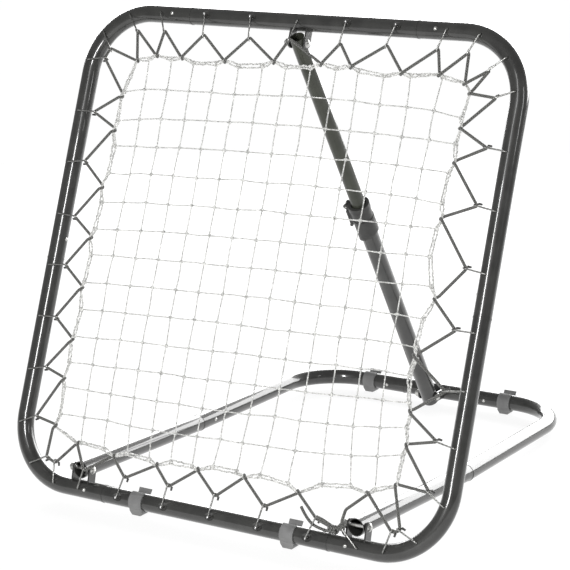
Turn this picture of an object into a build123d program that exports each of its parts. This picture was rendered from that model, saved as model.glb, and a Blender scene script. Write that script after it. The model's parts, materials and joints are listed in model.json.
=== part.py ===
from build123d import *
import os
from math import atan2, cos, degrees, hypot, radians, sin

# Ball rebounder: a laced net in a leaning square tube frame, hinged on a U-shaped
# floor base and held at its angle by a telescopic strut with a clamp.
# Millimetres, +Z up, front face towards -Y, origin on the floor under the middle.

# ---- driving dimensions -------------------------------------------------
TUBE_R = 16.0            # frame and base tube, 32 mm outside
TUBE_WALL = 1.5
FRAME_SPAN = 898.0       # square frame, tube centre to tube centre
BEND_R = 120.0           # centre line radius of every tube bend
LEAN = 21.0              # frame leans back from upright, degrees
PAD_DROP = 7.0           # feet stand this far below the tube
BASE_DEPTH = 856.0       # front tube centre to rear tube centre
FRONT_REACH = 19.98      # the foremost hook, in front of the front tube
CLIP_BACK = 20.6         # foot clip reach behind its tube
AXLE_Z = TUBE_R + PAD_DROP
FRONT_Y = (FRONT_REACH - BASE_DEPTH - CLIP_BACK) / 2
REAR_Y = FRONT_Y + BASE_DEPTH

SEAM_TOP = 236.0         # top and bottom seams, from the middle
SEAM_SIDE = 413.0        # side seams, up from the bottom tube centre
SPIGOT = 48.0            # length of a swaged tube end inside its neighbour
SPIGOT_R = TUBE_R - TUBE_WALL - 0.15
SCREW_OFFSET = 40.0      # joint screws, from the seam
SCREW_R = 1.9
SCREW_LEN = 8.0
SCREW_HEAD_R = 3.6
SCREW_HEAD_H = 2.2
LIP_R = TUBE_R + 0.6     # flared rim of a socket end
LIP_LEN = 3.5

BRACKET_OFFSET = 38.0    # pivot bolt from the centre of the frame tube
HINGE_LEAN = 14.0        # hinge pivots sit this far behind upright, degrees
HINGE_X = 291.0          # base arms at the hinge
ARM_X = 299.0            # base arms at the rear
ARM_SEAM = (392.0, 13.0) # base arm seam: behind and above the front tube centre
REAR_SEAM_X = 75.0       # rear seams, from the middle
REAR_PIVOT = (-40.0, 1.0)  # strut pivot from the rear tube centre: y, z
ARM_OVERHANG = 12.0

EAR_T = 3.0
EAR_W = 20.0
WEB_T = 2.2
BOLT_R = 4.0
BOLT_HEAD_R = 7.8
BOLT_HEAD_T = 4.4
NUT_AF = 13.0
NUT_T = 6.5
WASHER_R = 8.0
WASHER_T = 1.6

UPPER_R = 14.0
UPPER_WALL = 1.5
UPPER_LEN = 600.0
UPPER_OVERHANG = 13.0
LOWER_R = 17.0
LOWER_BORE = 15.4
LOWER_OVERHANG = 14.5
MOUTH = 553.0            # clamp mouth, from the rear pivot
CLAMP_LEN = 86.0
CLAMP_R = 21.5
CLAMP_STOP = 13.0        # collar length past the end of the lower tube
LEVER_X = -26.5          # lever pivot beside the strut
LEVER_Z = MOUTH - 6.0
LEVER_CAM_W = 7.0

HOOK_WIRE_R = 1.5
HOOK_REACH = 37.0        # cord corner from the tube centre line
HOOK_BIGHT = 5.6         # closed end of the hook, beyond the cord corner
HOOK_SIDE = 5.0          # the hook's end swings this far to one side
LACE_N = 15.5            # net and cord plane, in front of the tube centres
CORD_R = 2.75
TURN_R = CORD_R + HOOK_WIRE_R + 0.1   # tight turn of the cord round a hook
NET_CORD_R = 2.2
KNOT_AT = (250.0, 24.0)  # where the two ends of the cord are tied
NET_T = 2.0
KNOT_R = 6.5
KNOT_LEN = 22.0
DIMPLE_R = 14.0
DIMPLE_DEPTH = 4.0
HOOK_HOLE_R = 1.9

CLIP_LEN = 27.0
CLIP_T = 2.4
CLIP_X = 160.0
PAD_DEPTH = 13.0

# hooks along each side: place from the middle of the side, and swing of the wire
TOP_HOOKS = [(-436, -16), (-371, 19), (-300, 24), (-200, 6), (-100, 6), (0, -9),
             (100, -8), (200, -18), (300, -17), (365, -9), (434, 0)]
BOTTOM_HOOKS = [(-413, -23), (-345, 16), (-288, -22), (-200, -13), (-100, -7), (0, -7),
                (100, -10), (200, -20), (300, 48), (350, -24), (415, 27)]
LEFT_HOOKS = [(-349, 15), (-249, 14), (-147, 4), (-49, 6), (50, -3), (150, 7), (250, 0), (349, 19)]
RIGHT_HOOKS = [(-354, -19), (-256, -10), (-160, 8), (-62, 0), (38, -7), (144, -9), (246, -5), (349, 12)]

# hooks that hold the cord further forward, clear of an open tube end behind it
HOOK_LIFT = {("top", 0): 8.0, ("bottom", -288): 14.0, ("bottom", 300): 6.0}
LEFT_HANDED = [("bottom", 300)]

# the elastic round the right hinge, and its loose end (across, up, forward)
HINGE_DETOUR = [(268, 60, 20.0), (265, 38, 21.5)]
LOOSE_END = [(242, 18, 11.5), (216, 19, 12.0), (193, 31, 13.0), (179, 50, 15.0)]

# where the elastic cord turns round the net's edge, (across, up) in the frame plane
NET_TOP = [(-335, 804), (-293, 816), (-236, 815), (-141, 815), (-36, 820), (63, 822),
           (125, 821), (227, 816), (300, 818), (351, 806)]
NET_RIGHT = [(364, 791), (358, 730), (358, 670), (352, 572), (366, 435), (346, 336),
             (356, 242), (360, 185), (353, 115)]
NET_BOTTOM = [(302, 93), (169, 72), (57, 80), (-41, 76), (-129, 70), (-225, 71), (-309, 81)]
NET_LEFT = [(-367, 104), (-368, 192), (-366, 266), (-366, 365), (-367, 461), (-363, 558),
            (-359, 668), (-356, 734)]

# ---- frames of reference ------------------------------------------------
HALF = FRAME_SPAN / 2
STRAIGHT = HALF - BEND_R
S, C = sin(radians(LEAN)), cos(radians(LEAN))
FRAME = Plane(origin=(0, FRONT_Y, AXLE_Z), x_dir=(1, 0, 0), z_dir=(0, -C, S))

HINGE = (FRONT_Y + BRACKET_OFFSET * sin(radians(HINGE_LEAN)),
         AXLE_Z + BRACKET_OFFSET * cos(radians(HINGE_LEAN)))
TOP_PIVOT = (FRONT_Y + (FRAME_SPAN - BRACKET_OFFSET) * S,
             AXLE_Z + (FRAME_SPAN - BRACKET_OFFSET) * C)
LOW_PIVOT = (REAR_Y + REAR_PIVOT[0], AXLE_Z + REAR_PIVOT[1])
STRUT_LEN = hypot(LOW_PIVOT[0] - TOP_PIVOT[0], TOP_PIVOT[1] - LOW_PIVOT[1])
UP_STRUT = Vector(0, TOP_PIVOT[0] - LOW_PIVOT[0], TOP_PIVOT[1] - LOW_PIVOT[1]).normalized()
STRUT = Plane(origin=(0, LOW_PIVOT[0], LOW_PIVOT[1]), x_dir=(1, 0, 0), z_dir=UP_STRUT)


def in_frame(part):
    """Move a part drawn in the frame's own plane (across, up, forward) into place."""
    return FRAME.location * part


def on_strut(part):
    """Move a part drawn along +Z from the rear pivot onto the leaning strut."""
    return STRUT.location * part


def rod(start, end, radius):
    """A solid cylinder between two points."""
    run = Vector(end) - Vector(start)
    place = Plane(origin=start, z_dir=run)
    return extrude(place * Circle(radius), run.length)


def pipe(start, end, radius, bore):
    """A straight tube between two points."""
    run = Vector(end) - Vector(start)
    place = Plane(origin=start, z_dir=run)
    ring = Circle(radius) - Circle(bore)
    return extrude(place * ring, run.length)


def domed_pin(head_r, head_h, shank_r, shank_len):
    """A domed head standing on Z = 0 with its shank below."""
    dome_r = (head_r ** 2 + head_h ** 2) / (2 * head_h)
    half = atan2(head_r, dome_r - head_h) / 2
    middle = (dome_r * sin(half), head_h - dome_r + dome_r * cos(half))
    lines = [Line((0, head_h), (0, -shank_len)).edge(), Line((0, -shank_len), (shank_r, -shank_len)).edge(),
             Line((shank_r, -shank_len), (shank_r, 0)).edge(), Line((shank_r, 0), (head_r, 0)).edge(),
             ThreePointArc((head_r, 0), middle, (0, head_h)).edge()]
    profile = Plane.XZ * make_face(Wire(lines))
    return revolve(profile, Axis.Z)


def bent_pipe(path, radius, bore):
    """A tube swept along a wire of lines and arcs."""
    place = Plane(origin=path @ 0, z_dir=path % 0)
    outer = sweep(place * Circle(radius), path=path)
    inner = sweep(place * Circle(bore), path=path)
    return outer - inner


def socket_lip(seam, inward):
    """The flared rim round a socket end; inward points away from the seam."""
    away = Vector(inward).normalized() * LIP_LEN
    return pipe(seam, Vector(seam) + away, LIP_R, TUBE_R - 0.05)


def spigot(seam, direction):
    """The swaged end that slides into the neighbouring tube."""
    run = Vector(direction).normalized()
    body = pipe(Vector(seam) - run * 2, Vector(seam) + run * SPIGOT, SPIGOT_R, SPIGOT_R - TUBE_WALL)
    shoulder = pipe(Vector(seam) - run * 2, Vector(seam) - run * 0.1, TUBE_R - 0.5, SPIGOT_R - TUBE_WALL)
    return body + shoulder


def joint_screw(seam, direction, side):
    """A dome-headed screw through a socket and its spigot, headed on the side given."""
    out = Vector(side).normalized()
    spot = Vector(seam) + Vector(direction).normalized() * SCREW_OFFSET
    place = Plane(origin=spot + out * TUBE_R, z_dir=out)
    return place.location * domed_pin(SCREW_HEAD_R, SCREW_HEAD_H, SCREW_R, SCREW_LEN)


def screw_hole(seam, direction, side):
    out = Vector(side).normalized()
    spot = Vector(seam) + Vector(direction).normalized() * SCREW_OFFSET
    return rod(spot + out * (TUBE_R - SCREW_LEN), spot + out * (TUBE_R + 4), SCREW_R + 0.05)


# ---- front frame tubes --------------------------------------------------
def rim(side, s):
    """Point on the frame's centre line and the inward direction there, both in the
    frame plane; s runs along the side from its middle and on round the corner."""
    over = max(0.0, abs(s) - STRAIGHT)
    turn = over / BEND_R
    along = min(abs(s), STRAIGHT) + BEND_R * sin(turn)
    drop = BEND_R * (1 - cos(turn))
    sign = 1 if s >= 0 else -1
    a, out = sign * along, HALF - drop
    tilt = (-sign * sin(turn), -cos(turn))
    if side == "top":
        return (a, HALF + out), tilt
    if side == "bottom":
        return (a, HALF - out), (tilt[0], -tilt[1])
    if side == "left":
        return (-out, HALF + a), (-tilt[1], tilt[0])
    return (out, HALF + a), (tilt[1], tilt[0])


def hook_places():
    """Every hook as its side, place on the tube, direction of its wire, lift and hand."""
    rows = []
    for side, hooks in (("top", TOP_HOOKS), ("bottom", BOTTOM_HOOKS),
                        ("left", LEFT_HOOKS), ("right", RIGHT_HOOKS)):
        for s, swing in hooks:
            spot, inward = rim(side, s)
            t = radians(swing)
            way = (inward[0] * cos(t) - inward[1] * sin(t), inward[0] * sin(t) + inward[1] * cos(t))
            hand = -1 if (side, s) in LEFT_HANDED else 1
            rows.append((side, spot, way, HOOK_LIFT.get((side, s), 0.0), hand))
    return rows


def hook_holes(low, high, part):
    """Drill a tube for the hooks whose places lie in a box, dimpled on straight tubes."""
    for _, spot, _, _, _ in hook_places():
        if not (low[0] <= spot[0] <= high[0] and low[1] <= spot[1] <= high[1]):
            continue
        part = part - rod((spot[0], spot[1], 0), (spot[0], spot[1], TUBE_R + 5), HOOK_HOLE_R)
    return part


def dimpled_tube(v, dimples):
    """The straight top or bottom tube with pressed dimples round some hook holes."""
    outer = rod((-SEAM_TOP, v, 0), (SEAM_TOP, v, 0), TUBE_R)
    bore = rod((-SEAM_TOP - 1, v, 0), (SEAM_TOP + 1, v, 0), TUBE_R - TUBE_WALL)
    centre = TUBE_R - DIMPLE_DEPTH + DIMPLE_R
    for x in dimples:
        outer = outer - Pos(x, v, centre) * Sphere(DIMPLE_R)
        bore = bore - Pos(x, v, centre) * Sphere(DIMPLE_R + TUBE_WALL)
    tube = outer - bore
    for end in (-1, 1):
        tube = tube + spigot((end * SEAM_TOP, v, 0), (end, 0, 0))
        tube = tube - screw_hole((end * SEAM_TOP, v, 0), (end, 0, 0), (0, 0, 1))
    return hook_holes((-SEAM_TOP, v - 20), (SEAM_TOP, v + 20), tube)


def corner_tube(x_sign, top):
    """One L-shaped corner of the frame, from its top or bottom seam to its side seam."""
    v_end = FRAME_SPAN if top else 0.0
    into = -1 if top else 1
    start = (x_sign * SEAM_TOP, v_end, 0)
    turn = (x_sign * STRAIGHT, v_end, 0)
    bent = (x_sign * HALF, v_end + into * BEND_R, 0)
    stop = (x_sign * HALF, SEAM_SIDE, 0)
    bend = RadiusArc(turn, bent, BEND_R * (1 if x_sign * into > 0 else -1) * -1)
    path = Wire([Line(start, turn).edge(), bend.edge(), Line(bent, stop).edge()])
    tube = bent_pipe(path, TUBE_R, TUBE_R - TUBE_WALL)
    tube = tube + socket_lip(start, (x_sign, 0, 0))
    tube = tube + (socket_lip(stop, (0, 1, 0)) if top else spigot(stop, (0, 1, 0)))
    tube = tube - screw_hole(start, (x_sign, 0, 0), (0, 0, 1))
    tube = tube - screw_hole(stop, (0, 1, 0), (-x_sign, 0, 0))
    near, far = SEAM_TOP + 2, HALF + TUBE_R + 5
    edge = v_end - into * (TUBE_R + 4)
    low = (min(x_sign * near, x_sign * far), min(edge, SEAM_SIDE))
    high = (max(x_sign * near, x_sign * far), max(edge, SEAM_SIDE))
    return hook_holes(low, high, tube)


def frame_screws():
    rows = []
    for x_sign in (-1, 1):
        for v in (0.0, FRAME_SPAN):
            rows.append(joint_screw((x_sign * SEAM_TOP, v, 0), (x_sign, 0, 0), (0, 0, 1)))
        rows.append(joint_screw((x_sign * HALF, SEAM_SIDE, 0), (0, 1, 0), (-x_sign, 0, 0)))
    return rows


# ---- brackets, bolts and nuts -------------------------------------------
def u_bracket(half_gap, offset, host_r):
    """A welded U bracket: host tube along X through the origin, ears rising along +Y."""
    width = 2 * (half_gap + EAR_T)
    part = Pos(0, host_r, 0) * Box(width, WEB_T, 12.0)
    for sign in (-1, 1):
        at = sign * (half_gap + EAR_T / 2)
        foot = Pos(at, (host_r - 4 + offset) / 2, 0) * Box(EAR_T, offset - host_r + 4, EAR_W)
        head = Pos(at, offset, 0) * Rot(0, 90, 0) * Cylinder(EAR_W / 2, EAR_T)
        part = part + foot + head
    part = part - Rot(0, 90, 0) * Cylinder(host_r + 0.02, width + 20)
    return part - Pos(0, offset, 0) * Rot(0, 90, 0) * Cylinder(BOLT_R + 0.05, width + 20)


def bolt(half_gap):
    """A mushroom-headed bolt along X at the origin, head on the +X side."""
    grip = half_gap + EAR_T
    tail = grip + WASHER_T + NUT_T + 3
    place = Plane(origin=(grip, 0, 0), z_dir=(1, 0, 0))
    return place.location * domed_pin(BOLT_HEAD_R, BOLT_HEAD_T, BOLT_R, grip + tail)


def nut(half_gap):
    """A hex nut on the bolt's -X end."""
    at = -(half_gap + EAR_T + WASHER_T + NUT_T)
    hexagon = RegularPolygon(NUT_AF / 2, 6, major_radius=False) - Circle(BOLT_R)
    place = Plane(origin=(at, 0, 0), z_dir=(1, 0, 0))
    blank = extrude(place * hexagon, NUT_T)
    crown = Pos(at + NUT_T / 2, 0, 0) * Rot(0, 90, 0) * Cylinder(NUT_AF / 2 + 0.75, NUT_T)
    return blank & crown


def washer(half_gap):
    """A plain washer under the nut."""
    at = -(half_gap + EAR_T + WASHER_T)
    return pipe((at, 0, 0), (at + WASHER_T, 0, 0), WASHER_R, BOLT_R + 0.1)


# ---- hooks, net and lacing ----------------------------------------------
def hook(lift, hand):
    """One wire hook: through the hole, over the tube's front, and round the cord."""
    front = LACE_N + CORD_R + HOOK_WIRE_R + 0.1
    back = LACE_N - CORD_R - HOOK_WIRE_R - 0.1 + lift
    bight = HOOK_REACH + HOOK_BIGHT
    points = [(0, 0, 5.0), (0, 0, front), (bight, 0, front + lift),
              (bight, -hand * HOOK_SIDE / 2, back), (HOOK_REACH - 5, -hand * HOOK_SIDE, back)]
    path = FilletPolyline(*points, radius=3.0)
    place = Plane(origin=path @ 0, z_dir=path % 0)
    return sweep(place * Circle(HOOK_WIRE_R), path=path)


def hooks_on(side_name):
    rows = []
    for side, spot, way, lift, hand in hook_places():
        if side == side_name:
            angle = degrees(atan2(way[1], way[0]))
            rows.append(Pos(spot[0], spot[1], 0) * Rot(0, 0, angle) * hook(lift, hand))
    return rows


def hook_tip(side_name, index):
    """Cord corner of one hook in the frame's axes."""
    rows = [row for row in hook_places() if row[0] == side_name]
    _, spot, way, lift, _ = rows[index]
    return (spot[0] + way[0] * HOOK_REACH, spot[1] + way[1] * HOOK_REACH, LACE_N + lift)


def outside(point):
    """Where the elastic passes a net edge point: just outside the edge cord."""
    dx, dy = point[0], point[1] - HALF
    grow = 1 + (NET_CORD_R + CORD_R) / hypot(dx, dy)
    return (dx * grow, HALF + dy * grow, LACE_N)


def lacing_route():
    """The elastic's corners, from the knot clockwise round the net and back to the knot."""
    def tips(side, order):
        return [hook_tip(side, k) for k in order]
    bottom = tips("bottom", range(8, -1, -1))
    left = tips("left", range(8))
    top = tips("top", range(11))
    right = tips("right", range(7, -1, -1))
    net = [[outside(point) for point in side] for side in (NET_BOTTOM, NET_LEFT, NET_TOP, NET_RIGHT)]
    net_bottom, net_left, net_top, net_right = net
    route = [(*KNOT_AT, LACE_N), bottom[1]]
    for near, tip in zip(net_bottom[1:], bottom[2:8]):
        route += [near, tip]
    route.append(bottom[8])
    for near, tip in zip(net_left, left):
        route += [near, tip]
    route.append(top[0])
    for near, tip in zip(net_top, top[1:]):
        route += [near, tip]
    for near, tip in zip(net_right, right):
        route += [near, tip]
    route += [net_right[-1], hook_tip("bottom", 10), hook_tip("bottom", 9)]
    return route + [net_bottom[0]] + HINGE_DETOUR + [hook_tip("bottom", 8), (*KNOT_AT, LACE_N)]


def cord_along(points, radius, turn):
    """A cord of straight runs and tangent turns, each made alone and all joined."""
    path = FilletPolyline(*points, radius=turn)
    spans = []
    for edge in path.edges():
        place = Plane(origin=edge @ 0, z_dir=edge % 0)
        spans.append(sweep(place * Circle(radius), path=edge))
    return spans[0].fuse(*spans[1:])


def elastic_knot():
    """The lump where the two cord ends are tied: a short drum with rounded ends."""
    drum = Pos(KNOT_AT[0], KNOT_AT[1] - 1, LACE_N) * Rot(0, 90, 0) * Cylinder(KNOT_R, KNOT_LEN)
    return fillet(drum.edges().filter_by(GeomType.CIRCLE), KNOT_R * 0.6)


def net_outline():
    """Corner points of the net's edge in order round it."""
    return NET_TOP + NET_RIGHT + NET_BOTTOM + NET_LEFT


def net_border():
    """The twisted edge cord of the net, as a plain closed loop."""
    points = [(u, v, LACE_N) for u, v in net_outline()]
    path = FilletPolyline(*points, radius=4.0, close=True)
    place = Plane(origin=path @ 0, z_dir=path % 0)
    return sweep(place * Circle(NET_CORD_R), path=path)


def net_panel():
    """The net as one thin closed panel inside its edge cord."""
    outline = make_face(Polyline(*net_outline(), close=True))
    inside = offset(outline, -NET_CORD_R - 0.3, kind=Kind.INTERSECTION)
    return extrude(Plane.XY.offset(LACE_N - NET_T / 2) * inside, NET_T)


# ---- feet ---------------------------------------------------------------
def foot_clip():
    """A plastic C clip round a tube along X at the origin, with a flat pad under it."""
    outer = TUBE_R + CLIP_T
    ring = Circle(outer) - Circle(TUBE_R + 0.1)
    mouth = Polygon((0, 0), (60 * cos(radians(95)), 60 * sin(radians(95))), (0, 80), (60, 60),
                    (60 * cos(radians(35)), 60 * sin(radians(35))), align=None)
    lip = Polygon((13.3, 9.2), (15.2, 10.6), (20.6, 18.2), (18.9, 19.4), align=None)
    pad = Polygon((-PAD_DEPTH - 2, -9), (PAD_DEPTH + 2, -9), (PAD_DEPTH, -AXLE_Z),
                  (-PAD_DEPTH, -AXLE_Z), align=None) - Circle(outer - 0.5)
    band = (ring - mouth) + (lip - Circle(TUBE_R + 0.1))
    body = extrude(Plane.YZ * band, CLIP_LEN / 2, both=True)
    pad_body = extrude(Plane.YZ * pad, CLIP_LEN / 2, both=True)
    slope = 4.5
    for sign in (-1, 1):
        wedge = Polygon((sign * CLIP_LEN, -15.5), (sign * CLIP_LEN / 2, -15.5),
                        (sign * (CLIP_LEN / 2 - slope), -AXLE_Z), (sign * CLIP_LEN, -AXLE_Z - 2), align=None)
        pad_body = pad_body - extrude(Plane.XZ * wedge, 40, both=True)
    return body + pad_body


# ---- base ---------------------------------------------------------------
def base_points(sign):
    """Hinge, seam and rear corner of one base arm."""
    hinge = Vector(sign * HINGE_X, HINGE[0], HINGE[1])
    seam = Vector(sign * ARM_X, FRONT_Y + ARM_SEAM[0], AXLE_Z + ARM_SEAM[1])
    rear = Vector(sign * ARM_X, REAR_Y, AXLE_Z)
    return hinge, seam, rear


def front_arm(sign):
    """One front arm of the base, from its hinge to its spigot in the rear tube."""
    hinge, seam, rear = base_points(sign)
    run = (seam - hinge).normalized()
    start = hinge - run * ARM_OVERHANG
    tube = pipe(start, seam - run * 0.7, TUBE_R, TUBE_R - TUBE_WALL)
    tube = tube + spigot(seam, rear - seam)
    hole = rod(hinge - Vector(40, 0, 0), hinge + Vector(40, 0, 0), BOLT_R + 0.05)
    return tube - hole - screw_hole(seam, rear - seam, (-sign, 0, 0))


def rear_corner(sign):
    """One rear corner of the base: from the arm seam round the bend to the rear seam."""
    _, seam, rear = base_points(sign)
    forward = (seam - rear).normalized()
    mid = Vector(sign * REAR_SEAM_X, REAR_Y, AXLE_Z)
    bend_in = rear + forward * BEND_R
    bend_out = rear - Vector(sign * BEND_R, 0, 0)
    centre = bend_in - Vector(sign * BEND_R, 0, 0)
    middle = centre + (rear - centre).normalized() * BEND_R
    bend = ThreePointArc(bend_in, middle, bend_out)
    path = Wire([Line(seam, bend_in).edge(), bend.edge(), Line(bend_out, mid).edge()])
    tube = bent_pipe(path, TUBE_R, TUBE_R - TUBE_WALL)
    tube = tube + socket_lip(seam, rear - seam) + socket_lip(mid, (sign, 0, 0))
    tube = tube - screw_hole(seam, rear - seam, (-sign, 0, 0))
    return tube - screw_hole(mid, (sign, 0, 0), (0, -1, 0))


def rear_centre():
    """The short rear tube between the corners, swaged at both ends."""
    ends = [Vector(sign * REAR_SEAM_X, REAR_Y, AXLE_Z) for sign in (-1, 1)]
    tube = pipe(ends[0], ends[1], TUBE_R, TUBE_R - TUBE_WALL)
    for end, sign in zip(ends, (-1, 1)):
        tube = tube + spigot(end, (sign, 0, 0)) - screw_hole(end, (sign, 0, 0), (0, -1, 0))
    return tube


def base_screws():
    rows = []
    for sign in (-1, 1):
        _, seam, rear = base_points(sign)
        rows.append(joint_screw(seam, rear - seam, (-sign, 0, 0)))
        rows.append(joint_screw((sign * REAR_SEAM_X, REAR_Y, AXLE_Z), (sign, 0, 0), (0, -1, 0)))
    return rows


def rear_place():
    """Turns a bracket drawn rising along +Y so that it rises to the rear pivot."""
    return Plane(origin=(0, REAR_Y, AXLE_Z), x_dir=(1, 0, 0),
                 z_dir=Vector(1, 0, 0).cross(Vector(0, *REAR_PIVOT))).location


def hinge_place(sign):
    """Turns a bracket drawn rising along +Y so that it rises to a hinge pivot."""
    rise = Vector(0, HINGE[0] - FRONT_Y, HINGE[1] - AXLE_Z)
    return Plane(origin=(sign * HINGE_X, FRONT_Y, AXLE_Z), x_dir=(1, 0, 0),
                 z_dir=Vector(1, 0, 0).cross(rise)).location


def top_place():
    """Turns a bracket drawn rising along +Y so that it hangs from the top tube."""
    down = Vector(0, -S, -C)
    top = FRAME.location * Pos(0, FRAME_SPAN, 0)
    return Plane(origin=top.position, x_dir=(1, 0, 0), z_dir=Vector(1, 0, 0).cross(down)).location


# ---- strut --------------------------------------------------------------
def strut_lower_tube():
    tube = pipe((0, 0, -LOWER_OVERHANG), (0, 0, MOUTH - CLAMP_STOP), LOWER_R, LOWER_BORE)
    return tube - rod((-40, 0, 0), (40, 0, 0), BOLT_R + 0.05)


def strut_upper_tube():
    top = STRUT_LEN + UPPER_OVERHANG
    tube = pipe((0, 0, STRUT_LEN - UPPER_LEN), (0, 0, top), UPPER_R, UPPER_R - UPPER_WALL)
    return tube - rod((-40, 0, STRUT_LEN), (40, 0, STRUT_LEN), BOLT_R + 0.05)


def clamp_collar():
    """Plastic split sleeve on the lower tube's mouth, with lugs for the lever beside it."""
    low, high = MOUTH - CLAMP_LEN, MOUTH
    body = rod((0, 0, low), (0, 0, high), CLAMP_R)
    body = body - pipe((0, 0, high - 34), (0, 0, high - 12), CLAMP_R + 2, CLAMP_R - 1.2)
    lug = Pos((LEVER_X - 8) / 2, 0, LEVER_Z - 1) * Box(-8 - LEVER_X, 15, 12)
    knuckle = Pos(LEVER_X, 0, LEVER_Z) * Rot(90, 0, 0) * Cylinder(5.5, 15)
    body = body + lug + knuckle
    body = body - Pos(LEVER_X - 3, 0, LEVER_Z) * Box(17, LEVER_CAM_W + 0.8, 40)
    body = body - rod((0, 0, low - 1), (0, 0, high - CLAMP_STOP), LOWER_R + 0.02)
    body = body - rod((0, 0, low), (0, 0, high + 1), LOWER_BORE)
    body = body - Pos(LEVER_X / 2, 0, high - 10) * Box(abs(LEVER_X), 2.0, 40)
    body = body - rod((LEVER_X, -20, LEVER_Z), (LEVER_X, 20, LEVER_Z), 2.05)
    slant = Plane(origin=(0, 0, low + 7), z_dir=(-0.38, 0, 1))
    return split(body, bisect_by=slant, keep=Keep.TOP)


def lever_pin():
    return rod((LEVER_X, -8.4, LEVER_Z), (LEVER_X, 8.4, LEVER_Z), 2.0)


def clamp_lever():
    """Flip lever: a cam on the pin and a thin blade lying down the side of the collar."""
    at = LEVER_X - 2.6
    cam = Pos(LEVER_X, 0, LEVER_Z) * Rot(90, 0, 0) * Cylinder(4.6, LEVER_CAM_W)
    neck = Pos(at, 0, LEVER_Z - 7) * Box(3.4, LEVER_CAM_W, 14)
    blade = Pos(at, 0, LEVER_Z - 31) * Box(3.0, 13, 38)
    tip = Pos(at - 0.8, 0, LEVER_Z - 50) * Box(4.6, 13, 5)
    part = cam + neck + blade + tip
    return part - rod((LEVER_X, -20, LEVER_Z), (LEVER_X, 20, LEVER_Z), 2.05)


# ---- build --------------------------------------------------------------
HINGE_GAP = TUBE_R + 0.8
TOP_GAP = UPPER_R + 0.8
REAR_GAP = LOWER_R + 0.8
PIVOT_Y = Pos(0, BRACKET_OFFSET, 0)
REAR_OFFSET = hypot(*REAR_PIVOT)

os.makedirs("parts", exist_ok=True)
nodes = {}
nodes["top_tube"] = [in_frame(dimpled_tube(FRAME_SPAN, (-200, -100, 100, 200)))]
nodes["bottom_tube"] = [in_frame(dimpled_tube(0.0, (-200, -100, 0, 100, 200)))]
for name, x_sign, top in (("top_left", -1, True), ("top_right", 1, True),
                          ("bottom_left", -1, False), ("bottom_right", 1, False)):
    nodes["corner_tube_" + name] = [in_frame(corner_tube(x_sign, top))]
nodes["frame_joint_screws"] = [in_frame(part) for part in frame_screws()]

for name, sign in (("left", -1), ("right", 1)):
    nodes["hinge_bracket_" + name] = [hinge_place(sign) * u_bracket(HINGE_GAP, BRACKET_OFFSET, TUBE_R)]
hinge_spots = [hinge_place(sign) * PIVOT_Y for sign in (-1, 1)]
nodes["hinge_bolts"] = [spot * bolt(HINGE_GAP) for spot in hinge_spots]
nodes["hinge_nuts"] = [spot * nut(HINGE_GAP) for spot in hinge_spots]
nodes["hinge_washers"] = [spot * washer(HINGE_GAP) for spot in hinge_spots]

top_spot = top_place() * PIVOT_Y
nodes["top_bracket"] = [top_place() * u_bracket(TOP_GAP, BRACKET_OFFSET, TUBE_R)]
nodes["top_bolt"] = [top_spot * bolt(TOP_GAP)]
nodes["top_nut"] = [top_spot * nut(TOP_GAP)]
nodes["top_washer"] = [top_spot * washer(TOP_GAP)]

rear_spot = rear_place() * Pos(0, REAR_OFFSET, 0)
nodes["rear_bracket"] = [rear_place() * u_bracket(REAR_GAP, REAR_OFFSET, TUBE_R)]
nodes["rear_bolt"] = [rear_spot * bolt(REAR_GAP)]
nodes["rear_nut"] = [rear_spot * nut(REAR_GAP)]
nodes["rear_washer"] = [rear_spot * washer(REAR_GAP)]

for side in ("top", "bottom", "left", "right"):
    nodes["hooks_" + side] = [in_frame(part) for part in hooks_on(side)]
nodes["elastic_cord"] = [in_frame(cord_along(lacing_route(), CORD_R, TURN_R))]
nodes["elastic_loose_end"] = [in_frame(cord_along(LOOSE_END, CORD_R, 8.0))]
nodes["elastic_knot"] = [in_frame(elastic_knot())]
nodes["net_border_cord"] = [in_frame(net_border())]
nodes["net_panel"] = [in_frame(net_panel())]

clip = foot_clip()
for name, x, y in (("front_left", -CLIP_X, FRONT_Y), ("front_right", CLIP_X, FRONT_Y),
                   ("rear_left", -CLIP_X, REAR_Y), ("rear_right", CLIP_X, REAR_Y)):
    nodes["foot_clip_" + name] = [Pos(x, y, AXLE_Z) * clip]

for name, sign in (("left", -1), ("right", 1)):
    nodes["base_front_arm_" + name] = [front_arm(sign)]
    nodes["base_rear_tube_" + name] = [rear_corner(sign)]
nodes["base_rear_tube_centre"] = [rear_centre()]
nodes["base_joint_screws"] = base_screws()

nodes["strut_lower_tube"] = [on_strut(strut_lower_tube())]
nodes["strut_upper_tube"] = [on_strut(strut_upper_tube())]
nodes["clamp_collar"] = [on_strut(clamp_collar())]
nodes["clamp_lever_pin"] = [on_strut(lever_pin())]
nodes["clamp_lever"] = [on_strut(clamp_lever())]

for name, parts in nodes.items():
    solids = [solid for part in parts for solid in part.solids()]
    shape = solids[0] if len(solids) == 1 else Compound(children=solids)
    export_step(shape, os.path.join("parts", name + ".step"))
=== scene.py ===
import json
import math

import bmesh
import bpy
import numpy as np
from mathutils import Matrix, Vector


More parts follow.
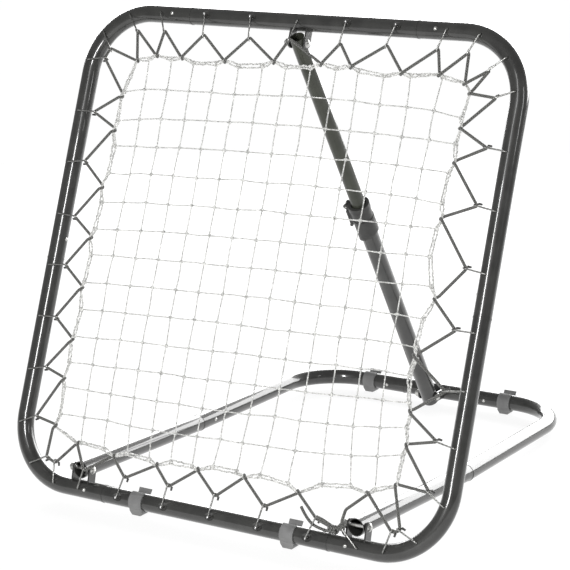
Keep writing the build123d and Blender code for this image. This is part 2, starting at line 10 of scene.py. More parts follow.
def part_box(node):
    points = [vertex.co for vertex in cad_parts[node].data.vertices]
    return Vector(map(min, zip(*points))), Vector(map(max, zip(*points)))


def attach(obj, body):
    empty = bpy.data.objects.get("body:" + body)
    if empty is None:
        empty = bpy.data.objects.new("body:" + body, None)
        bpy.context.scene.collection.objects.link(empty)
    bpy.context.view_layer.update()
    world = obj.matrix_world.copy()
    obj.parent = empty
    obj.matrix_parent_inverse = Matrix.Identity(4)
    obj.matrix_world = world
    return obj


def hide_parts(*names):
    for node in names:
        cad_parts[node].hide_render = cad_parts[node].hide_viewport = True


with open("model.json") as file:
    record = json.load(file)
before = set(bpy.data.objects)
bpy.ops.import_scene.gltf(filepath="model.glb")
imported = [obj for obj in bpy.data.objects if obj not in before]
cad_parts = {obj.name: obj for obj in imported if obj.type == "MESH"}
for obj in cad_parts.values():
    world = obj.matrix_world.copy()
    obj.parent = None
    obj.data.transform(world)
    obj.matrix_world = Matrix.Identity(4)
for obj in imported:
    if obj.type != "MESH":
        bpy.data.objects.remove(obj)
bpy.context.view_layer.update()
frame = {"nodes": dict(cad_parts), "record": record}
NODES = frame["nodes"]
MM = 0.001
rng = np.random.default_rng(11)

# The net frame's own axes: across, up the leaning frame, and forward of its tube centres.
# Places in those axes are in millimetres, as in the part's source.
LEAN = math.radians(21)
SPAN = 898.0
HALF = SPAN / 2
BEND_R = 120.0
STRAIGHT = HALF - BEND_R
LOW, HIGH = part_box("bottom_tube")
AXIS_Y = (LOW.y + HIGH.y) / 2
AXIS_Z = (LOW.z + HIGH.z) / 2
ACROSS = np.array([1.0, 0.0, 0.0])
UPWARD = np.array([0.0, math.sin(LEAN), math.cos(LEAN)])
FORWARD = np.array([0.0, -math.cos(LEAN), math.sin(LEAN)])
ORIGIN = np.array([0.0, AXIS_Y, AXIS_Z])

# Hooks along each side, from left to right or from bottom to top: the hole's place from the
# middle of the side, and the swing of the wire in degrees.
HOOKS = {
    "top": [(-436, -16), (-371, 19), (-300, 24), (-200, 6), (-100, 6), (0, -9),
            (100, -8), (200, -18), (300, -17), (365, -9), (434, 0)],
    "bottom": [(-413, -23), (-345, 16), (-288, -22), (-200, -13), (-100, -7), (0, -7),
               (100, -10), (200, -20), (300, 48), (350, -24), (415, 27)],
    "left": [(-349, 15), (-249, 14), (-147, 4), (-49, 6), (50, -3), (150, 7), (250, 0), (349, 19)],
    "right": [(-354, -19), (-256, -10), (-160, 8), (-62, 0), (38, -7), (144, -9), (246, -5), (349, 12)],
}

# Hooks that stand further forward, to pass a bracket, and the one with its short leg on the left.
HOOK_LIFT = {("top", 0): 8.0, ("bottom", -288): 14.0, ("bottom", 300): 6.0}
LEFT_HANDED = [("bottom", 300)]
HOOK_REACH = 37.0   # from the hole to the tip
HOOK_SIDE = 5.0     # from the long leg to the short one
HOOK_BACK = 4.35    # short leg behind the elastic
SHADE_CAP_R = 1.9         # radius of the dark cap on the short leg's end, painted shade
LACE_N = 15.5       # the elastic and the net lie this far forward
CORD_R = 2.75

# Where the elastic turns round the net's edge, and its way past the right hinge.
NET_TOP = [(-335, 804), (-293, 816), (-236, 815), (-141, 815), (-36, 820), (63, 822),
           (125, 821), (227, 816), (300, 818), (351, 806)]
NET_RIGHT = [(364, 791), (358, 730), (358, 670), (352, 572), (366, 435), (346, 336),
             (356, 242), (360, 185), (353, 115)]
NET_BOTTOM = [(302, 93), (169, 72), (57, 80), (-41, 76), (-129, 70), (-225, 71), (-309, 81)]
NET_LEFT = [(-367, 104), (-368, 192), (-366, 266), (-366, 365), (-367, 461), (-363, 558),
            (-359, 668), (-356, 734)]
HINGE_DETOUR = [(268, 60, 20.0), (265, 38, 21.5)]
KNOT_AT = (250.0, 24.0)
LOOSE_END = [(242, 18, 11.5), (216, 19, 12.0), (193, 31, 13.0), (179, 50, 15.0)]
DOUBLED_RUN = [(214, 38, 19.5), (222, 37, 16.5), (236, 31.5, 15.5), (248, 27, 15.5)]
KNOT_STUBS = [[(254, 26, 15), (260, 31, 16), (263, 36, 16)],
              [(257, 25, 17), (266, 29, 19), (273, 32, 21)],
              [(243, 20, 12), (236, 17.5, 12), (228, 18, 12)]]

NET_TAIL = [(351, 333, 16), (350, 326, 17), (346, 316, 17.5), (342, 306, 17)]

# Where the mesh lines are tied to the net's edge, along each side.
TIES_TOP = [-308, -258, -207, -157, -109, -58, -9, 43, 95, 140, 193, 244, 302]
TIES_BOTTOM = [-306, -249, -196, -146, -99, -53, -11, 39, 87, 146, 213, 269, 316]
TIES_LEFT = [739, 685, 638, 586, 529, 478, 429, 376, 325, 274, 224, 179, 127]
TIES_RIGHT = [745, 700, 650, 596, 553, 505, 455, 398, 349, 300, 256, 215, 169]


def at(u, v, n):
    """A place in the frame's axes, in millimetres, as a point of the row frame in metres."""
    return ORIGIN + (ACROSS * u + UPWARD * v + FORWARD * n) * MM


# ---- materials ----------------------------------------------------------
class Look:
    """A procedural material: one shader, with noise driving colour, roughness and bump."""

    def __init__(self, name):
        self.material = bpy.data.materials.new(name)
        self.material.use_nodes = True
        self.tree = self.material.node_tree
        self.shader = self.tree.nodes["Principled BSDF"]
        self.normal = None
        self.coords = self.node("ShaderNodeTexCoord")

    def node(self, kind, **values):
        made = self.tree.nodes.new(kind)
        for key, value in values.items():
            if key in made.inputs:
                made.inputs[key].default_value = value
            else:
                setattr(made, key, value)
        return made

    def link(self, source, target):
        self.tree.links.new(source, target)

    def set(self, **values):
        for key, value in values.items():
            self.shader.inputs[key.replace("_", " ")].default_value = value
        return self

    def noise(self, scale, detail):
        """Noise with about `scale` grains in a metre."""
        texture = self.node("ShaderNodeTexNoise", Scale=scale, Detail=detail)
        self.link(self.coords.outputs["Object"], texture.inputs["Vector"])
        return texture.outputs["Fac"]

    def ramp(self, source, low, high, a, b):
        """Colours a to b as the source goes from low to high."""
        made = self.node("ShaderNodeValToRGB")
        made.color_ramp.elements[0].position = low
        made.color_ramp.elements[1].position = high
        made.color_ramp.elements[0].color = (*a, 1)
        made.color_ramp.elements[1].color = (*b, 1)
        self.link(source, made.inputs["Fac"])
        return made.outputs["Color"]

    def colour(self, source, low, high, a, b):
        self.link(self.ramp(source, low, high, a, b), self.shader.inputs["Base Color"])

    def roughness(self, source, low, high):
        spread = self.node("ShaderNodeMapRange")
        spread.inputs["To Min"].default_value = low
        spread.inputs["To Max"].default_value = high
        self.link(source, spread.inputs["Value"])
        self.link(spread.outputs["Result"], self.shader.inputs["Roughness"])

    def bump(self, source, depth, strength):
        """Relief of about `depth` metres, on top of any relief given before."""
        made = self.node("ShaderNodeBump", Strength=strength, Distance=depth)
        self.link(source, made.inputs["Height"])
        if self.normal:
            self.link(self.normal, made.inputs["Normal"])
        self.normal = made.outputs["Normal"]
        self.link(self.normal, self.shader.inputs["Normal"])
        return self

    def wave(self, across, along):
        """Diamonds of a braid: crossing helices counted round and along the cord."""
        split = self.node("ShaderNodeSeparateXYZ")
        self.link(self.coords.outputs["UV"], split.inputs["Vector"])
        sides = []
        for sign in (-1, 1):
            lean = self.node("ShaderNodeMath", operation="MULTIPLY")
            lean.inputs[1].default_value = sign * along * 2 * math.pi
            self.link(split.outputs["Y"], lean.inputs[0])
            turn = self.node("ShaderNodeMath", operation="MULTIPLY_ADD")
            turn.inputs[1].default_value = across * 2 * math.pi
            self.link(split.outputs["X"], turn.inputs[0])
            self.link(lean.outputs[0], turn.inputs[2])
            sine = self.node("ShaderNodeMath", operation="SINE")
            self.link(turn.outputs[0], sine.inputs[0])
            sides.append(sine.outputs[0])
        top = self.node("ShaderNodeMath", operation="MAXIMUM")
        self.link(sides[0], top.inputs[0])
        self.link(sides[1], top.inputs[1])
        return top.outputs[0]


def powder_coat(name, dark, light, gloss):
    """Glossy powder coat: fine orange peel, faint mottling and a clear, sharp top layer."""
    look = Look(name)
    look.set(Roughness=0.3, Specular_IOR_Level=0.3 * gloss)
    look.set(Coat_Weight=gloss, Coat_Roughness=0.045)
    look.colour(look.noise(35, 4), 0.3, 0.7, dark, light)
    look.roughness(look.noise(260, 2), 0.26, 0.40)
    return look.bump(look.noise(330, 2), 0.00008, 0.35).material


def zinc():
    look = Look("zinc_plate").set(Metallic=1.0)
    look.colour(look.noise(240, 3), 0.3, 0.75, (0.50, 0.50, 0.48), (0.74, 0.74, 0.72))
    look.roughness(look.noise(500, 2), 0.22, 0.42)
    return look.bump(look.noise(900, 2), 0.00005, 0.4).material


def hook_steel():
    look = Look("drawn_steel_wire").set(Metallic=1.0)
    look.colour(look.noise(300, 3), 0.35, 0.7, (0.20, 0.20, 0.19), (0.42, 0.42, 0.41))
    look.roughness(look.noise(900, 2), 0.25, 0.45)
    return look.bump(look.noise(1400, 1), 0.00004, 0.4).material


def moulded(name, dark, light, low, high):
    """Moulded plastic with a fine spark-eroded grain."""
    look = Look(name)
    look.colour(look.noise(60, 3), 0.3, 0.7, dark, light)
    look.roughness(look.noise(420, 2), low, high)
    return look.bump(look.noise(1100, 2), 0.00012, 0.5).material


def braid():
    look = Look("braided_elastic").set(Roughness=0.75, Sheen_Weight=0.25, Sheen_Roughness=0.5)
    plaits = look.wave(4, 220)
    look.colour(plaits, 0.1, 0.95, (0.016, 0.016, 0.015), (0.15, 0.15, 0.14))
    look.bump(plaits, 0.0005, 0.7)
    return look.bump(look.noise(2500, 2), 0.0001, 0.5).material


def twine():
    look = Look("net_twine").set(Roughness=0.8, Sheen_Weight=0.3, Sheen_Roughness=0.5)
    fibres = look.noise(900, 3)
    look.colour(look.noise(260, 4), 0.35, 0.65, (0.31, 0.31, 0.30), (0.70, 0.70, 0.68))
    look.roughness(fibres, 0.7, 0.9)
    return look.bump(fibres, 0.0002, 0.7).material


FRAME_BLACK = ((0.021, 0.021, 0.020), (0.036, 0.036, 0.034))
TUBE_OLIVE = ((0.034, 0.036, 0.028), (0.047, 0.050, 0.039))
CLIP_GREY = ((0.135, 0.135, 0.135), (0.185, 0.185, 0.183))
CLAMP_BLACK = ((0.024, 0.024, 0.023), (0.040, 0.040, 0.038))
LOOKS = {
    "frame_powder_coat": powder_coat("powder_coat", *FRAME_BLACK, 1.0),
    "inner_tube_paint": powder_coat("inner_tube_paint", *TUBE_OLIVE, 0.5),
    "zinc_fasteners": zinc(),
    "hook_wire": hook_steel(),
    "elastic_braid": braid(),
    "net_twine": twine(),
    "clip_plastic": moulded("clip_plastic", *CLIP_GREY, 0.45, 0.65),
    "clamp_plastic": moulded("clamp_plastic", *CLAMP_BLACK, 0.35, 0.5),
}


def dress_cad_nodes():
    for part in frame["record"]["subparts"]:
        mesh = NODES[part["node"]].data
        mesh.materials.clear()
        mesh.materials.append(LOOKS[part["material_slot"]])


# ---- tubes along paths --------------------------------------------------
class Rope:
    """Gathers swept tubes into one mesh, with a UV of turn round and metres along."""

    def __init__(self):
        self.points, self.faces, self.uvs, self.count = [], [], [], 0

    def sweep(self, path, sides, radius, closed=False):
        """path: points in metres. radius: a number, or a function of (turn, along)."""
        path = np.asarray(path, float)
        step = np.roll(path, -1, 0) - np.roll(path, 1, 0)
        if not closed:
            step[0], step[-1] = path[1] - path[0], path[-1] - path[-2]
        tangent = step / np.linalg.norm(step, axis=1)[:, None]
        normal = FORWARD - (tangent @ FORWARD)[:, None] * tangent
        normal /= np.linalg.norm(normal, axis=1)[:, None]
        side = np.cross(tangent, normal)
        along = np.concatenate([[0], np.cumsum(np.linalg.norm(np.diff(path, axis=0), axis=1))])
        turn = np.arange(sides) / sides
        angle = turn * 2 * math.pi
        reach = radius(turn[None, :], along[:, None]) if callable(radius) else radius
        reach = np.broadcast_to(reach, (len(path), sides))[..., None]
        cosine, sine = np.cos(angle)[None, :, None], np.sin(angle)[None, :, None]
        ring = cosine * normal[:, None] + sine * side[:, None]
        points = (path[:, None] + reach * ring).reshape(-1, 3)
        rings = len(path) if closed else len(path) - 1
        for k in range(rings):
            a, b = k * sides, ((k + 1) % len(path)) * sides
            for j in range(sides):
                i = (j + 1) % sides
                self.faces.append([self.count + p for p in (a + j, b + j, b + i, a + i)])
                ends = [(j / sides, along[k]), (j / sides, along[k] + 0.001)]
                if k + 1 < len(path):
                    ends[1] = (j / sides, along[k + 1])
                next_turn = (j + 1) / sides
                self.uvs += [ends[0], ends[1], (next_turn, ends[1][1]), (next_turn, along[k])]
        if not closed:
            last = (len(path) - 1) * sides
            self.faces.append([self.count + j for j in range(sides)])
            self.faces.append([self.count + last + j for j in reversed(range(sides))])
            self.uvs += [(j / sides, 0) for j in range(sides)] * 2
        self.points.append(points)
        self.count += len(points)

    def twist(self, path, strands, helix, radius, pitch, sides, closed=False):
        """Strands laid round each other along a path."""
        path = np.asarray(path, float)
        step = np.gradient(path, axis=0)
        tangent = step / np.linalg.norm(step, axis=1)[:, None]
        normal = FORWARD - (tangent @ FORWARD)[:, None] * tangent
        normal /= np.linalg.norm(normal, axis=1)[:, None]
        side = np.cross(tangent, normal)
        along = np.concatenate([[0], np.cumsum(np.linalg.norm(np.diff(path, axis=0), axis=1))])
        if closed:
            pitch = along[-1] / max(1, round(along[-1] / pitch))
        for k in range(strands):
            angle = (along / pitch + k / strands) * 2 * math.pi
            strand = path + helix * (np.cos(angle)[:, None] * normal + np.sin(angle)[:, None] * side)
            self.sweep(strand, sides, radius, closed=closed)

    def piece(self, name, slot, *replaced):
        """The gathered tubes as one object that rides on the net frame."""
        mesh = bpy.data.meshes.new(name)
        mesh.from_pydata(np.concatenate(self.points).tolist(), [], self.faces)
        layer = mesh.uv_layers.new(name="round_and_along")
        layer.data.foreach_set("uv", np.array(self.uvs, np.float32).ravel())
        mesh.polygons.foreach_set("use_smooth", [True] * len(mesh.polygons))
        mesh.materials.append(LOOKS[slot])
        made = bpy.data.objects.new(name, mesh)
        bpy.context.scene.collection.objects.link(made)
        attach(made, "front_frame")
        if replaced:
            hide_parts(*replaced)
        return made


def evenly(path, step, closed=False):
    """Points a fixed distance apart along a path in metres."""
    path = np.asarray(path, float)
    if closed:
        path = np.vstack([path, path[:1]])
    along = np.concatenate([[0], np.cumsum(np.linalg.norm(np.diff(path, axis=0), axis=1))])
    places = np.linspace(0, along[-1], max(2, int(along[-1] / step)) + 1)
    if closed:
        places = places[:-1]
    return np.stack([np.interp(places, along, path[:, k]) for k in range(3)], 1)


def spline(points, resolution):
    """The line of a NURBS spline whose control points are given in metres."""
    curve = bpy.data.curves.new("line", "CURVE")
    curve.dimensions = "3D"
    made = curve.splines.new("NURBS")
    made.points.add(len(points) - 1)
    for target, point in zip(made.points, points):
        target.co = (*point, 1)
    made.order_u = 3
    made.use_endpoint_u = True
    made.resolution_u = resolution
    holder = bpy.data.objects.new("line", curve)
    mesh = bpy.data.meshes.new_from_object(holder)
    line = np.array([vertex.co[:] for vertex in mesh.vertices])
    bpy.data.objects.remove(holder)
    bpy.data.curves.remove(curve)
    bpy.data.meshes.remove(mesh)
    return line


# ---- hooks --------------------------------------------------------------
def rim(side, s):
    """Point on the frame's centre line and the inward direction there."""
    turn = max(0.0, abs(s) - STRAIGHT) / BEND_R
    sign = 1 if s >= 0 else -1
    a = sign * (min(abs(s), STRAIGHT) + BEND_R * math.sin(turn))
    out = HALF - BEND_R * (1 - math.cos(turn))
    tilt = (-sign * math.sin(turn), -math.cos(turn))
    return {"top": ((a, HALF + out), tilt), "bottom": ((a, HALF - out), (tilt[0], -tilt[1])),
            "left": ((-out, HALF + a), (-tilt[1], tilt[0])),
            "right": ((out, HALF + a), (tilt[1], tilt[0]))}[side]


def hook_axes(side, index):
    """A hook's hole, the direction of its wire, its lift and its hand."""
    s, swing = HOOKS[side][index]
    spot, inward = rim(side, s)
    t = math.radians(swing)
    way = (inward[0] * math.cos(t) - inward[1] * math.sin(t),
           inward[0] * math.sin(t) + inward[1] * math.cos(t))
    hand = -1 if (side, s) in LEFT_HANDED else 1
    return spot, way, HOOK_LIFT.get((side, s), 0.0), hand


def hook_tip(side, index):
    spot, way, lift, _ = hook_axes(side, index)
    return (spot[0] + way[0] * HOOK_REACH, spot[1] + way[1] * HOOK_REACH, LACE_N + lift)


def hook_shade_caps():
    """Dark caps over the ends of the hooks' short legs: painted shade for the wire's shaded undersides.
    """
    rope = Rope()
    for side, rows in HOOKS.items():
        for index in range(len(rows)):
            spot, way, lift, hand = hook_axes(side, index)
            across = (way[1] * hand * HOOK_SIDE, -way[0] * hand * HOOK_SIDE)
            path = []
            for past in (-5.6, -4, -1, 1.5):
                reach = HOOK_REACH + past
                u = spot[0] + way[0] * reach + across[0]
                v = spot[1] + way[1] * reach + across[1]
                path.append(at(u, v, LACE_N - HOOK_BACK + lift))
            rope.sweep(evenly(path, 0.001), 10, SHADE_CAP_R * MM)
    return rope.piece("hook_tip_shade", "clamp_plastic")


# ---- elastic lacing -----------------------------------------------------
def round_edge(points, index, front_first):
    """Three points that take the elastic once round the net's edge at one place on it."""
    u, v = points[index]
    ahead = points[min(index + 1, len(points) - 1)]
    behind = points[max(index - 1, 0)]
    run = np.array([ahead[0] - behind[0], ahead[1] - behind[1]], float)
    run /= np.linalg.norm(run)
    out = np.array([u, v - HALF])
    out /= np.linalg.norm(out)
    side = 4.3 if front_first else -4.3
    return [(u - run[0] * 3.5 + out[0], v - run[1] * 3.5 + out[1], LACE_N + side),
            (u - out[0] * 5.5, v - out[1] * 5.5, LACE_N),
            (u + run[0] * 3.5 + out[0], v + run[1] * 3.5 + out[1], LACE_N - side)]


def lacing_route():
    """The elastic's corners, from the knot clockwise round the net and back to the knot."""
    bottom = [hook_tip("bottom", k) for k in range(8, -1, -1)]
    left = [hook_tip("left", k) for k in range(8)]
    top = [hook_tip("top", k) for k in range(11)]
    right = [hook_tip("right", k) for k in range(7, -1, -1)]
    route = [(*KNOT_AT, LACE_N), bottom[1]]
    for k, tip in zip(range(1, 7), bottom[2:8]):
        route += round_edge(NET_BOTTOM, k, True) + [tip]
    route.append(bottom[8])
    for k, tip in zip(range(8), left):
        route += round_edge(NET_LEFT, k, True) + [tip]
    route.append(top[0])
    for k, tip in zip(range(10), top[1:]):
        route += round_edge(NET_TOP, k, False) + [tip]
    for k, tip in zip(range(8), right):
        route += round_edge(NET_RIGHT, k, False) + [tip]
    route += round_edge(NET_RIGHT, 8, False) + [hook_tip("bottom", 10), hook_tip("bottom", 9)]
    route += round_edge(NET_BOTTOM, 0, True) + HINGE_DETOUR
    return route + [hook_tip("bottom", 8), (KNOT_AT[0], KNOT_AT[1] + 3, LACE_N)]


def pulled_tight(route, near=7.0):
    """Control points that keep the runs straight up to a short way from each corner."""
    points = [np.array(route[0], float)]
    for here, there in zip(route[:-1], route[1:]):
        here, there = np.array(here, float), np.array(there, float)
        run = there - here
        length = np.linalg.norm(run)
        if length > 2.5 * near:
            points += [here + run / length * near, there - run / length * near]
        points.append(there)
    return [at(*point) for point in points]


PLAIT_PITCH = 0.0055
PLAIT_STARTS = 3
PLAIT_RELIEF = 0.06


def plait(turn, along):
    """Radius of the braid: crossing helices stand a little proud."""
    lean = along / PLAIT_PITCH
    rising = np.sin((PLAIT_STARTS * turn + lean) * 2 * math.pi)
    falling = np.sin((PLAIT_STARTS * turn - lean) * 2 * math.pi)
    return CORD_R * MM * (1 - PLAIT_RELIEF + PLAIT_RELIEF * np.maximum(rising, falling))


def braided(rope, line):
    """Sweep the elastic along a line in metres, in steps fine enough for its braid."""
    rope.sweep(evenly(line, 0.0011), 16, plait)


def smooth(points, resolution):
    """A smooth line that follows places in the frame's axes."""
    return spline([at(*point) for point in points], resolution)


def elastic():
    rope = Rope()
    braided(rope, spline(pulled_tight(lacing_route()), 6))
    braided(rope, smooth(DOUBLED_RUN, 12))
    rope.piece("elastic_lacing", "elastic_braid", "elastic_cord")
    tail = Rope()
    braided(tail, smooth(LOOSE_END, 12))
    tail.piece("elastic_tail", "elastic_braid", "elastic_loose_end")


def knot():
    """The two ends of the elastic tied together: close wraps round the strands and two stubs."""
    rope = Rope()
    wraps = 3.2
    wrap_pitch = 5.2
    angle = np.linspace(0, wraps * 2 * math.pi, 110)
    u = KNOT_AT[0] - 9 + angle / (2 * math.pi) * wrap_pitch
    v = KNOT_AT[1] - 1 + 5.4 * np.cos(angle)
    n = LACE_N + 4.6 * np.sin(angle)
    braided(rope, [at(*point) for point in zip(u, v, n)])
    for stub in KNOT_STUBS:
        braided(rope, smooth(stub, 10))
    rope.piece("elastic_tie", "elastic_braid", "elastic_knot")


# ---- net ----------------------------------------------------------------
MESH_LINES = 13      # twines each way
MESH_CELL = 50.0     # millimetres between knots
EDGE_PULL = 150.0    # tension in the edge, against MESH_PULL in each twine
MESH_PULL = 50.0

# Laid twine and edge cord, in metres: how far the strands' centres are from the middle, their
# radius, and the length of one turn.
TWINE_LAY = (0.0006, 0.00084, 0.008)
EDGE_LAY = (0.00085, 0.00105, 0.0108)
TAIL_LAY = (0.0008, 0.0009, 0.009)

# Knots, in metres: half their width, and the radius of the strand in them.
MESH_KNOT = (0.0026, 0.0014)
EDGE_KNOT = (0.0042, 0.00115)


def edge_nodes():
    """The net's edge as a closed chain: places, whether each is held, and the ties' numbers."""
    sides = [(NET_TOP, [(x, "top") for x in TIES_TOP], 0, 1),
             (NET_RIGHT, [(z, "right") for z in TIES_RIGHT], 1, -1),
             (NET_BOTTOM, [(x, "bottom") for x in reversed(TIES_BOTTOM)], 0, -1),
             (NET_LEFT, [(z, "left") for z in reversed(TIES_LEFT)], 1, 1)]
    places, held, ties = [], [], {}
    for fixed, tied, axis, sign in sides:
        keys = [p[axis] * sign for p in fixed]
        rows = [(key, p, None) for key, p in zip(keys, fixed)]
        for place, side in tied:
            other = np.interp(place * sign, keys, [p[1 - axis] for p in fixed])
            point = (place, other) if axis == 0 else (other, place)
            rows.append((place * sign + 0.01, point, side))
        for _, point, side in sorted(rows, key=lambda row: row[0]):
            if side:
                ties.setdefault(side, []).append(len(places))
            places.append(point)
            held.append(side is None)
    ties["bottom"].reverse()
    ties["left"].reverse()
    return places, held, ties


def settled_net():
    """Where the knots and the edge come to rest under even pull: one linear balance of forces."""
    places, held, ties = edge_nodes()
    edge = len(places)
    count = edge + MESH_LINES ** 2
    links = []
    for k in range(edge):
        after = (k + 1) % edge
        length = max(8.0, math.dist(places[k], places[after]))
        links.append((k, after, EDGE_PULL / length))
    knots = np.arange(edge, count).reshape(MESH_LINES, MESH_LINES).tolist()
    mesh_lines = []
    for row, across in enumerate(knots):
        mesh_lines.append([ties["left"][row]] + across + [ties["right"][row]])
    for column, down in enumerate(zip(*knots)):
        mesh_lines.append([ties["top"][column]] + list(down) + [ties["bottom"][column]])
    for line in mesh_lines:
        links += [(a, b, MESH_PULL / MESH_CELL) for a, b in zip(line[:-1], line[1:])]
    pull = np.zeros((count, count))
    for a, b, q in links:
        pull[a, a] += q
        pull[b, b] += q
        pull[a, b] -= q
        pull[b, a] -= q
    fixed = [k for k in range(edge) if held[k]]
    free = [k for k in range(count) if k not in set(fixed)]
    spots = np.zeros((count, 2))
    spots[fixed] = [places[k] for k in fixed]
    load = -pull[np.ix_(free, fixed)] @ spots[fixed]
    spots[free] = np.linalg.solve(pull[np.ix_(free, free)], load)
    spots[edge:] += rng.normal(0, 0.7, (count - edge, 2))
    deep = np.zeros(count)
    deep[edge:] = rng.normal(0, 0.5, count - edge)
    return spots, deep, edge, mesh_lines, held


def twine_run(a, b, bow):
    """One twine between two knots, a little bowed."""
    t = np.linspace(0, 1, 12)[:, None]
    return a + (b - a) * t + np.sin(t * math.pi) * bow


def overhand(centre, size, turn):
    """Points of a small closed knot about a place."""
    t = np.linspace(0, 2 * math.pi, 37)[:-1]
    u = (np.sin(t) + 2 * np.sin(2 * t)) / 3
    v = (np.cos(t) - 2 * np.cos(2 * t)) / 3
    n = -np.sin(3 * t) * 0.5
    a = u * math.cos(turn) - v * math.sin(turn)
    b = u * math.sin(turn) + v * math.cos(turn)
    return centre + (np.outer(a, ACROSS) + np.outer(b, UPWARD) + np.outer(n, FORWARD)) * size


def tie(rope, centre, size, strand):
    """Add a small closed knot at a place, turned at random."""
    rope.sweep(overhand(centre, size, rng.uniform(0, 6.28)), 6, strand, closed=True)


def net():
    spots, deep, edge, mesh_lines, held = settled_net()
    points = np.array([at(s[0], s[1], LACE_N + d) for s, d in zip(spots, deep)])
    mesh = Rope()
    for line in mesh_lines:
        for a, b in zip(line[:-1], line[1:]):
            bow = (ACROSS * rng.normal(0, 0.5) + UPWARD * rng.normal(0, 0.5)) * MM
            run = evenly(twine_run(points[a], points[b], bow), 0.0017)
            mesh.twist(run, 2, *TWINE_LAY, 5)
    knots = sorted(set(k for line in mesh_lines for k in line))
    for k in knots:
        tie(mesh, points[k], *MESH_KNOT)
    mesh.piece("net_mesh", "net_twine", "net_panel")
    edge_cords(points[:edge], held)
    net_tail()


def edge_paths(points, held):
    """Paths of the two edge cords, drawn together wherever the elastic holds them."""
    count = len(points)
    middle = at(0, HALF, LACE_N)
    inner, outer = [], []
    for k in range(count):
        after = (k + 1) % count
        away = points[k] - middle
        away -= FORWARD * (away @ FORWARD)
        away /= np.linalg.norm(away)
        gap = 0.0010 if held[k] else rng.uniform(0.0024, 0.0038)
        inner.append(points[k] - away * gap)
        outer.append(points[k] + away * gap)
        between = (points[k] + points[after]) / 2
        if np.linalg.norm(points[after] - points[k]) > 0.02:
            gap = rng.uniform(0.0018, 0.0033)
            inner.append(between - away * gap + FORWARD * rng.normal(0, 0.0007))
            outer.append(between + away * gap + FORWARD * rng.normal(0, 0.0007))
    return inner, outer


def edge_cords(points, held):
    """The net's edge: two laid cords side by side, with a knot where each twine is tied to them."""
    rope = Rope()
    for path in edge_paths(points, held):
        line = evenly(path, 0.002, closed=True)
        line += rng.normal(0, 0.0007, line.shape)
        line = (np.roll(line, 1, 0) + line * 2 + np.roll(line, -1, 0)) / 4
        rope.twist(line, 2, *EDGE_LAY, 6, closed=True)
    for point, fast in zip(points, held):
        if not fast:
            tie(rope, point, *EDGE_KNOT)
    rope.piece("net_edge", "net_twine", "net_border_cord")


def net_tail():
    """The doubled end of the edge cord, hanging where the edge was closed."""
    rope = Rope()
    for side in (-1.4, 1.4):
        line = smooth([(u + side, v, n) for u, v, n in NET_TAIL], 10)
        rope.twist(evenly(line, 0.0015), 2, *TAIL_LAY, 6)
    rope.piece("net_edge_tail", "net_twine")


# ---- stage --------------------------------------------------------------
def backdrop(name, mesh):
    """A stage piece that lights nothing and casts no shadow: the camera alone sees it."""
    made = bpy.data.objects.new(name, mesh)
    bpy.context.scene.collection.objects.link(made)
    for ray in ("diffuse", "glossy", "transmission", "shadow"):
        setattr(made, "visible_" + ray, False)


WHITE = (1, 1, 1, 1)
BLACK = (0, 0, 0, 1)


def floor():
    """A pale disc that glows a little, so that it reads as white and still takes a soft shadow."""
    mesh = bpy.data.meshes.new("floor")
    radius, corners = 3.3, 48
    turns = [k / corners * 2 * math.pi for k in range(corners)]
    rim_points = [(radius * math.cos(t), radius * math.sin(t), 0) for t in turns]
    mesh.from_pydata(rim_points, [], [range(corners)])
    made = bpy.data.objects.new("floor", mesh)
    bpy.context.scene.collection.objects.link(made)
    look = Look("pale_floor").set(Roughness=0.8, Emission_Color=WHITE, Emission_Strength=0.88)
    look.colour(look.noise(2, 2), 0.3, 0.7, (0.10, 0.10, 0.10), (0.11, 0.11, 0.11))
    mesh.materials.append(look.material)


def room():
    """A white dome behind everything and a dim, even world light."""
    dome = bpy.data.meshes.new("white_room")
    build = bmesh.new()
    bmesh.ops.create_icosphere(build, subdivisions=3, radius=24.0)
    build.to_mesh(dome)
    build.free()
    look = Look("white_room")
    look.set(Base_Color=BLACK, Emission_Color=WHITE, Emission_Strength=1.0)
    dome.materials.append(look.material)
    backdrop("white_room", dome)
    world = bpy.data.worlds.new("studio")
    bpy.context.scene.world = world
    world.use_nodes = True
    sky = world.node_tree.nodes["Background"]
    sky.inputs["Color"].default_value = WHITE
    sky.inputs["Strength"].default_value = 0.28


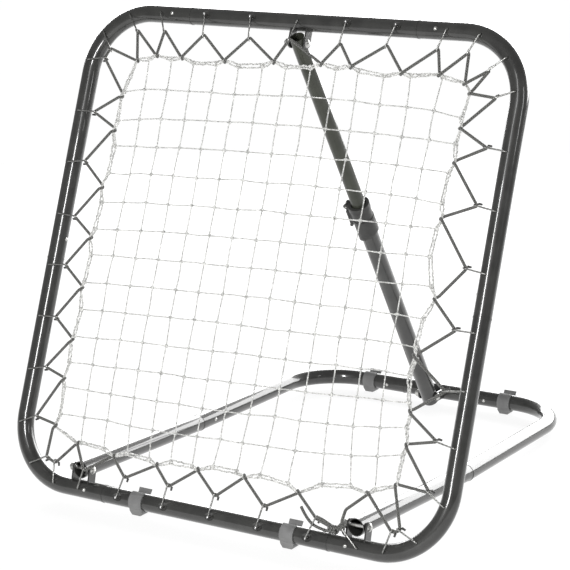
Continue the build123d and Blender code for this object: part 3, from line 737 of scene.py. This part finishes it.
def softbox(name, place, target, width, height, glow):
    """A rectangular lamp; glow is its brightness against a white surface in full light."""
    light = bpy.data.lights.new(name, "AREA")
    light.shape = "RECTANGLE"
    light.size = width
    light.size_y = height
    light.energy = glow * math.pi * width * height
    holder = bpy.data.objects.new(name, light)
    holder.location = place
    holder.rotation_euler = (Vector(target) - Vector(place)).to_track_quat("-Z", "Y").to_euler()
    holder.visible_camera = False
    bpy.context.scene.collection.objects.link(holder)


def lights():
    softbox("back_wall", (-0.2, 3.4, 1.3), (0, 0, 1.3), 8.4, 1.8, 7.0)
    softbox("front_strip", (0.36, -2.15, 1.12), (0, -0.3, 0.4), 0.34, 1.0, 34.0)
    softbox("front_strip_high", (0.36, -2.1, 2.05), (0, -0.3, 0.4), 0.34, 0.8, 4.5)
    softbox("right_high", (3.2, -0.6, 1.9), (0, -0.2, 0.5), 0.3, 1.2, 8.0)


CAMERA_TURN = (31.941, 13.563, -0.818)   # yaw, pitch and roll in degrees
CAMERA_LENS = 124.996                    # millimetres, on a sensor 36 mm wide


def camera():
    yaw, pitch, roll = (math.radians(angle) for angle in CAMERA_TURN)
    back = Vector((math.sin(yaw) * math.cos(pitch), -math.cos(yaw) * math.cos(pitch), math.sin(pitch)))
    level = Vector((math.cos(yaw), math.sin(yaw), 0))
    rise = back.cross(level)
    right = level * math.cos(roll) + rise * math.sin(roll)
    up = -level * math.sin(roll) + rise * math.cos(roll)
    data = bpy.data.cameras.new("camera")
    data.sensor_width = 36.0
    data.lens = CAMERA_LENS
    data.shift_y = -0.0439
    data.clip_end = 60
    holder = bpy.data.objects.new("camera", data)
    place = Vector((1.8534, AXIS_Y - 2.7226, 1.2819))
    columns = Matrix((right, up, back)).transposed().to_4x4()
    holder.matrix_world = Matrix.Translation(place) @ columns
    bpy.context.scene.collection.objects.link(holder)
    bpy.context.scene.camera = holder


dress_cad_nodes()
hook_shade_caps()
elastic()
knot()
net()
floor()
room()
lights()
camera()
bpy.context.scene.view_settings.view_transform = "Standard"
